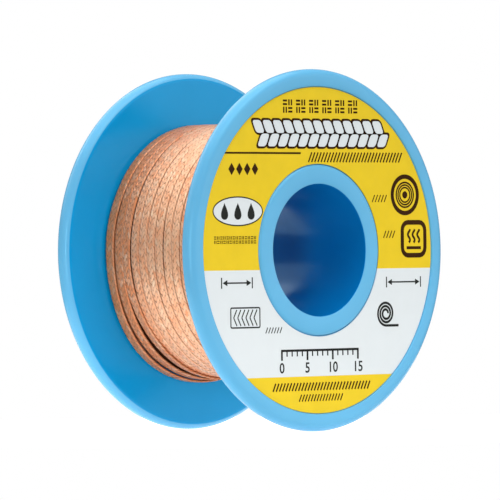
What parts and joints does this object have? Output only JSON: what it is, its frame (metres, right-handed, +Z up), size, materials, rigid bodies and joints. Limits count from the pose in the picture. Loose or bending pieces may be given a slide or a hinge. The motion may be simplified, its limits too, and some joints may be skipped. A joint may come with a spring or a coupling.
{
  "type": "desoldering braid reel",
  "caption": "Moulded plastic reel with a through bore and two rounded flanges, wound with flat woven copper desoldering braid, with a ring label recessed in one end.",
  "frame": {"origin": "on the ground under the middle of the reel, which stands on the rims of its two flanges", "axes": "+Y along the reel's axis, from its labelled end to its bare end; +Z up; +X across"},
  "size_m": [0.05, 0.0268, 0.0499],
  "materials": {
    "spool_plastic": "semi-gloss light blue moulded plastic",
    "braid_copper": "bare copper wire braid, faintly glossy with flux",
    "label_paper": "printed yellow and white coated paper"
  },
  "bodies": {
    "root": {"spool": "spool_plastic", "braid_winding": "braid_copper", "label": "label_paper"}
  },
  "joints": []
}
